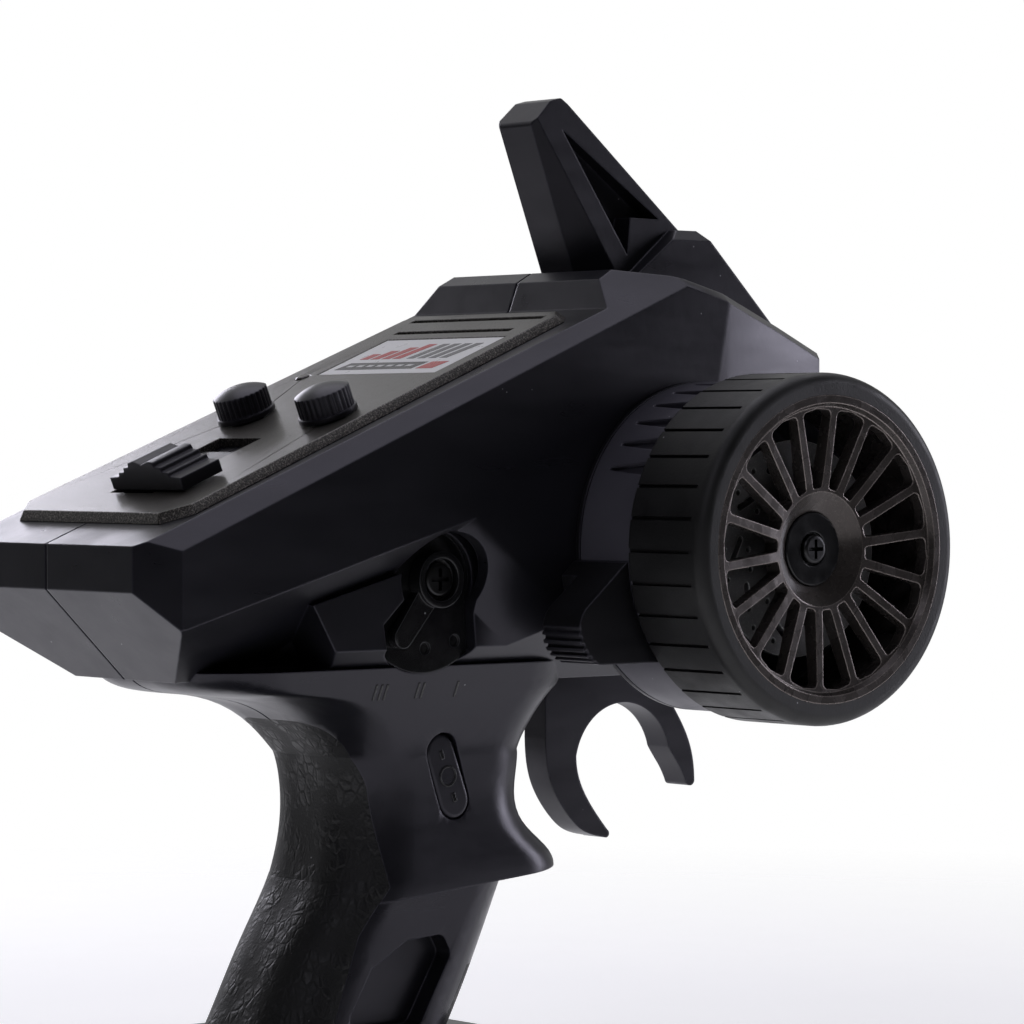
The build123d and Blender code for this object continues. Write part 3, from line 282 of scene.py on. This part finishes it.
def film(name, color):
    """Printed film with a faint tooth in the print."""
    s = Shader(name, color, 0.32)
    tooth = s.noise(2400.0, 2.0, 0.6)
    s.paint(s.mix(tooth, tuple(c * 0.93 for c in color), color))
    s.rough(s.ramp(s.noise(350.0, 2.0), 0.3, 0.7, 0.26, 0.40))
    s.bump(tooth, 0.000008)
    return s


def lens(name, color):
    """Dark smoked plastic with a slightly uneven surface."""
    s = Shader(name, color, 0.12)
    s.paint(s.mix(s.noise(700.0, 2.0), tuple(c * 0.7 for c in color), color))
    s.set("Transmission Weight", 0.1)
    s.bump(s.noise(1200.0, 1.0), 0.00001)
    return s


def board(name):
    """Solder resist with fine copper tracks under it."""
    s = Shader(name, (0.02, 0.16, 0.07), 0.35)
    tracks = s.node("ShaderNodeTexBrick")
    tracks.inputs["Scale"].default_value = 260.0
    s.link(s.coords, tracks.inputs["Vector"])
    tracks.inputs["Color1"].default_value = (0.015, 0.13, 0.055, 1)
    tracks.inputs["Color2"].default_value = (0.02, 0.17, 0.07, 1)
    tracks.inputs["Mortar"].default_value = (0.05, 0.27, 0.11, 1)
    s.paint(tracks.outputs["Color"])
    s.bump(tracks.outputs["Fac"], 0.00003)
    return s


FINISHES = {
    "shell_plastic": satin_plastic("satin_shell", (0.0095, 0.0095, 0.0125), 0.31),
    "knob_plastic": satin_plastic("moulded_knob", (0.008, 0.008, 0.009), 0.34, texture=0.8, dust=0.2),
    "trigger_plastic": satin_plastic("satin_trigger", (0.006, 0.006, 0.0075), 0.33),
    "ring_plastic": satin_plastic("satin_ring", (0.072, 0.070, 0.086), 0.38, dust=0.2),
    "fin_plastic": satin_plastic("satin_fin", (0.0085, 0.0085, 0.011), 0.32),
    "component_black": satin_plastic("component_body", (0.03, 0.03, 0.03), 0.45),
    "cell_jacket": satin_plastic("cell_jacket", (0.05, 0.12, 0.35), 0.3),
    "grip_rubber": leather_rubber("leather_rubber", (0.009, 0.009, 0.0105)),
    "tyre_rubber": tyre_rubber("tyre_rubber", (0.0085, 0.0085, 0.009)),
    "panel_bronze": speckled_panel("speckled_panel"),
    "rim_gunmetal": lacquered("gunmetal_lacquer", (0.075, 0.066, 0.062), 0.26),
    "disc_silver": lacquered("silver_paint", (0.32, 0.32, 0.33), 0.36, flake=0.3, metallic=0.7),
    "hub_black": lacquered("gloss_black", (0.008, 0.008, 0.009), 0.2, flake=0.1, metallic=0.0),
    "screw_steel": metal("black_screw", (0.06, 0.06, 0.062), 0.32),
    "bright_steel": metal("turned_steel", (0.6, 0.6, 0.6), 0.25),
    "spring_steel": metal("spring_wire", (0.45, 0.45, 0.46), 0.3),
    "aerial_wire": metal("aerial_brass", (0.7, 0.5, 0.22), 0.3),
    "contact_metal": metal("plated_contact", (0.7, 0.7, 0.7), 0.25),
    "label_film": film("label_film", (0.86, 0.86, 0.87)),
    "lamp_lens": lens("lamp_lens", (0.05, 0.04, 0.038)),
    "board_green": board("solder_resist"),
}


def finish_nodes():
    """Gives every CAD node the finish of its slot."""
    slots = {row["node"]: row["material_slot"] for row in frame["record"]["subparts"]}
    for name, thing in nodes.items():
        thing.data.materials.clear()
        thing.data.materials.append(FINISHES[slots[name]].material)


def soften(name, width, segments=2, angle=28):
    """Rounds sharp edges with modifiers; the clamped bevel stays narrow where the mesh is fine."""
    thing = nodes[name]
    weld = thing.modifiers.new("weld", "WELD")
    weld.merge_threshold = 0.00002
    bevel = thing.modifiers.new("bevel", "BEVEL")
    bevel.width = width * MM
    bevel.segments = segments
    bevel.limit_method = "ANGLE"
    bevel.angle_limit = radians(angle)
    bevel.harden_normals = False
    bevel.use_clamp_overlap = True
    thing.data.shade_smooth()
    smooth = thing.modifiers.new("normals", "WEIGHTED_NORMAL")
    smooth.keep_sharp = False


finish_nodes()

# Edge widths in mm. The trigger and the rim have only the rounding in their shaders.
SOFT_EDGES = {
    "housing_right": 0.45, "housing_left": 0.45, "antenna_fin": 0.5, "control_panel": 0.2, "power_slider": 0.15,
    "wheel_base_ring": 0.2, "rate_lever": 0.25, "tyre": 0.12,
    "rate_selector": 0.25, "base_shell": 0.4, "battery_door": 0.15,
}
for node_name, edge in SOFT_EDGES.items():
    soften(node_name, edge)


# ---------------------------------------------------------------- printed and raised marks
def prism(name, tops, bottoms, faces, finish, body):
    """Closed thin solid from matching top and bottom points; faces index the tops."""
    mesh = bpy.data.meshes.new(name)
    made = bmesh.new()
    upper = [made.verts.new(p) for p in tops]
    lower = [made.verts.new(p) for p in bottoms]
    rims = {}
    for face in faces:
        made.faces.new([upper[i] for i in face])
        made.faces.new([lower[i] for i in reversed(face)])
        for i, j in zip(face, (*face[1:], face[0])):
            if (j, i) in rims:
                del rims[(j, i)]
            else:
                rims[(i, j)] = True
    for i, j in rims:
        made.faces.new((upper[j], upper[i], lower[i], lower[j]))
    bmesh.ops.recalc_face_normals(made, faces=made.faces)
    made.to_mesh(mesh)
    made.free()
    mesh.materials.append(finish.material)
    thing = bpy.data.objects.new(name, mesh)
    bpy.context.scene.collection.objects.link(thing)
    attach(thing, body)
    return thing


def print_on_label(name, outline, finish):
    """Flat ink shape on the label; the outline is in mm, right and up the slope from its middle."""
    low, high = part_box("panel_label")
    middle = (low + high) / 2 + PANEL_UP * 0.15 * MM
    flat = [middle + Vector((u * MM, 0, 0)) + PANEL_RISE * (v * MM) for u, v in outline]
    tops = [p + PANEL_UP * 0.035 * MM for p in flat]
    prism(name, tops, [p - PANEL_UP * 0.02 * MM for p in flat], [tuple(range(len(flat)))], finish, "handset")


def slanted(left, low, width, height, lean=0.35):
    return [(left, low), (left + width, low), (left + width + lean * height, low + height),
            (left + lean * height, low + height)]


def label_art():
    """Plain signal bars over a dark strip: the label's colours with no words."""
    red = film("ink_red", (0.52, 0.02, 0.025))
    grey = film("ink_grey", (0.12, 0.12, 0.13))
    dark = film("ink_dark", (0.03, 0.03, 0.035))
    for i in range(4):
        print_on_label(f"ink_red_bar_{i}", slanted(-13.2 + 3.1 * i, -1.2, 2.3, 2.6 + 1.5 * i), red)
    for i in range(4):
        print_on_label(f"ink_grey_bar_{i}", slanted(0.2 + 3.1 * i, -1.2, 2.0, 7.0), grey)
    print_on_label("ink_strip", slanted(-14.6, -6.3, 22.0, 3.3), dark)
    print_on_label("ink_red_tab", slanted(8.6, -6.3, 4.6, 3.3), red)
    pale = film("ink_pale", (0.75, 0.75, 0.76))
    for i in range(7):
        low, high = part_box("panel_label")
        middle = (low + high) / 2 + PANEL_UP * 0.18 * MM
        flat = [middle + Vector((u * MM, 0, 0)) + PANEL_RISE * (v * MM)
                for u, v in slanted(-12.6 + 2.8 * i, -5.1, 1.7, 0.8)]
        prism(f"ink_dash_{i}", [p + PANEL_UP * 0.03 * MM for p in flat], [p - PANEL_UP * 0.01 * MM for p in flat],
              [(0, 1, 2, 3)], pale, "handset")


def surface_tree(node):
    thing = nodes[node]
    return BVHTree.FromPolygons([v.co for v in thing.data.vertices], [p.vertices for p in thing.data.polygons])


def stroke(name, tree, path, width, finish, body, raised=0.10, closed=False):
    """Thin raised line on the right side of a surface; path points are (Y, Z) in mm."""
    tops, bottoms = [], []
    count = len(path)
    for i, (y, z) in enumerate(path):
        before = path[i - 1] if i or closed else path[i]
        after = path[(i + 1) % count] if i + 1 < count or closed else path[i]
        along = Vector((0, after[0] - before[0], after[1] - before[1])).normalized()
        side = Vector((0, -along.z, along.y)) * (width / 2)
        for edge in (side, -side):
            start = Vector((80 * MM, (y + edge.y) * MM, (z + edge.z) * MM))
            hit, normal, _, _ = tree.ray_cast(start, Vector((-1, 0, 0)))
            if normal.x < 0:
                normal = -normal
            tops.append(hit + normal * raised * MM)
            bottoms.append(hit - normal * 0.25 * MM)
    steps = count if closed else count - 1
    faces = []
    for i in range(steps):
        j = (i + 1) % count
        faces.append((2 * i, 2 * i + 1, 2 * j + 1, 2 * j))
    return prism(name, tops, bottoms, faces, finish, body)


def arc(y, z, radius, start, end, steps):
    return [(y + radius * cos(radians(start + (end - start) * i / steps)),
             z + radius * sin(radians(start + (end - start) * i / steps))) for i in range(steps + 1)]


def rate_marks():
    """Three, two and one bars under the rate selector for high, medium and low."""
    tree = surface_tree("housing_right")
    for group, (y, bars) in enumerate(((-4.7, 3), (4.0, 2), (12.1, 1))):
        for i in range(bars):
            at = y + (i - (bars - 1) / 2) * 1.15
            path = [(at, 86.3 + 2.8 * k / 6) for k in range(7)]
            stroke(f"rate_mark_{group}_{i}", tree, path, 0.42, FINISHES["hub_black"], "handset")


def button_mark():
    """Raised ring and bar on the side button."""
    tree = surface_tree("side_button")
    ring = arc(13.4, 72.2, 1.7, 0, 345, 23)
    stroke("button_ring", tree, ring, 0.45, FINISHES["hub_black"], "aux_button", closed=True)
    for sign, name in ((1, "button_bar_upper"), (-1, "button_bar_lower")):
        up = Vector((-sin(radians(20)), cos(radians(20))))
        start = Vector((13.4, 72.2)) + up * 3.2 * sign
        path = [tuple(start + up * 0.55 * sign * k) for k in range(4)]
        stroke(name, tree, path, 0.9, FINISHES["hub_black"], "aux_button")


label_art()
rate_marks()
button_mark()


# ---------------------------------------------------------------- camera, light and floor
CAMERA_PLACE = (0.57644, -0.44317, 0.13019)
CAMERA_FORWARD = (-0.76532, 0.64344, -0.01630)
CAMERA_RIGHT = (0.64353, 0.76542, 0)
LENS_MM, SENSOR_MM = 145.45, 36

LIGHT_TARGET = Vector((0, 0.03, 0.12))
LIGHT_COLOR = (0.90, 0.885, 1.0)

# The strength of the sky's light away from and towards its glow, and where the glow is.
DIM, GLOW = 0.024, 0.48
GLOW_TOWARD = Vector((-0.77, 0.45, 0.40)).normalized()
GLOW_START = 0.2

# The paper is opaque within FLOOR_SOLID of the middle and gone at FLOOR_HALF, in metres.
FLOOR_HALF, FLOOR_SOLID = 0.62, 0.28
FLOOR_LIFT = 0.3


def camera():
    data = bpy.data.cameras.new("camera")
    data.lens = LENS_MM
    data.sensor_width = SENSOR_MM
    thing = bpy.data.objects.new("camera", data)
    bpy.context.scene.collection.objects.link(thing)
    forward = Vector(CAMERA_FORWARD).normalized()
    right = Vector(CAMERA_RIGHT).normalized()
    up = right.cross(forward).normalized()
    turn = Matrix((right, up, -forward)).transposed()
    thing.matrix_world = Matrix.Translation(CAMERA_PLACE) @ turn.to_4x4()
    bpy.context.scene.camera = thing


def soft_box(name, direction, distance, size, power):
    """Rectangular softbox that faces the middle of the object from a direction."""
    data = bpy.data.lights.new(name, "AREA")
    data.shape = "RECTANGLE"
    data.size, data.size_y = size
    data.energy = power
    data.color = LIGHT_COLOR
    thing = bpy.data.objects.new(name, data)
    bpy.context.scene.collection.objects.link(thing)
    toward = Vector(direction).normalized()
    thing.location = LIGHT_TARGET + toward * distance
    thing.rotation_euler = (-toward).to_track_quat("-Z", "Y").to_euler()


def sky():
    """White backdrop for the eye; the light it gives is bright behind the object and dim before it."""
    world = bpy.data.worlds.new("studio")
    bpy.context.scene.world = world
    world.use_nodes = True
    tree = world.node_tree
    back = tree.nodes["Background"]
    back.inputs["Color"].default_value = (1, 1, 1, 1)
    seen = tree.nodes.new("ShaderNodeLightPath")
    where = tree.nodes.new("ShaderNodeTexCoord")
    facing = tree.nodes.new("ShaderNodeVectorMath")
    facing.operation = "DOT_PRODUCT"
    facing.inputs[1].default_value = GLOW_TOWARD
    tree.links.new(where.outputs["Generated"], facing.inputs[0])
    glow = tree.nodes.new("ShaderNodeMapRange")
    glow.interpolation_type = "SMOOTHSTEP"
    for key, number in (("From Min", GLOW_START), ("From Max", 1.0), ("To Min", DIM), ("To Max", GLOW)):
        glow.inputs[key].default_value = number
    tree.links.new(facing.outputs["Value"], glow.inputs["Value"])
    pick = tree.nodes.new("ShaderNodeMix")
    tree.links.new(seen.outputs["Is Camera Ray"], pick.inputs["Factor"])
    tree.links.new(glow.outputs["Result"], pick.inputs["A"])
    pick.inputs["B"].default_value = 1.0
    tree.links.new(pick.outputs["Result"], back.inputs["Strength"])


def floor_paper():
    """Pale paper, lifted by a little glow of its own, that fades into the backdrop."""
    mesh = bpy.data.meshes.new("floor")
    made = bmesh.new()
    bmesh.ops.create_grid(made, x_segments=4, y_segments=4, size=FLOOR_HALF)
    made.to_mesh(mesh)
    made.free()
    floor = bpy.data.objects.new("floor", mesh)
    bpy.context.scene.collection.objects.link(floor)
    s = Shader("floor_paper", (0.9, 0.9, 0.9), 0.9)
    s.paint(s.mix(s.noise(40.0, 3.0), (0.90, 0.90, 0.90), (0.94, 0.94, 0.94)))
    s.set("Emission Color", (1, 1, 1, 1))
    s.set("Emission Strength", FLOOR_LIFT)
    away = s.node("ShaderNodeVectorMath", operation="LENGTH")
    s.link(s.coords, away.inputs[0])
    s.link(s.ramp(away.outputs["Value"], FLOOR_SOLID, FLOOR_HALF, 1.0, 0.0), s.bsdf.inputs["Alpha"])
    mesh.materials.append(s.material)


def studio():
    sky()
    floor_paper()
    soft_box("top_box", (-0.15, 0.15, 1.0), 0.9, (0.9, 0.9), 2.8)
    soft_box("nose_box", (0.38, 0.92, 0.12), 1.2, (0.35, 0.7), 4.2)
    soft_box("left_box", (-0.85, 0.1, 0.28), 0.8, (0.5, 0.25), 1.9)
    soft_box("camera_box", (0.55, -0.75, 0.75), 1.4, (0.4, 0.4), 1.2)
    bpy.context.scene.view_settings.view_transform = "Standard"


camera()
studio()
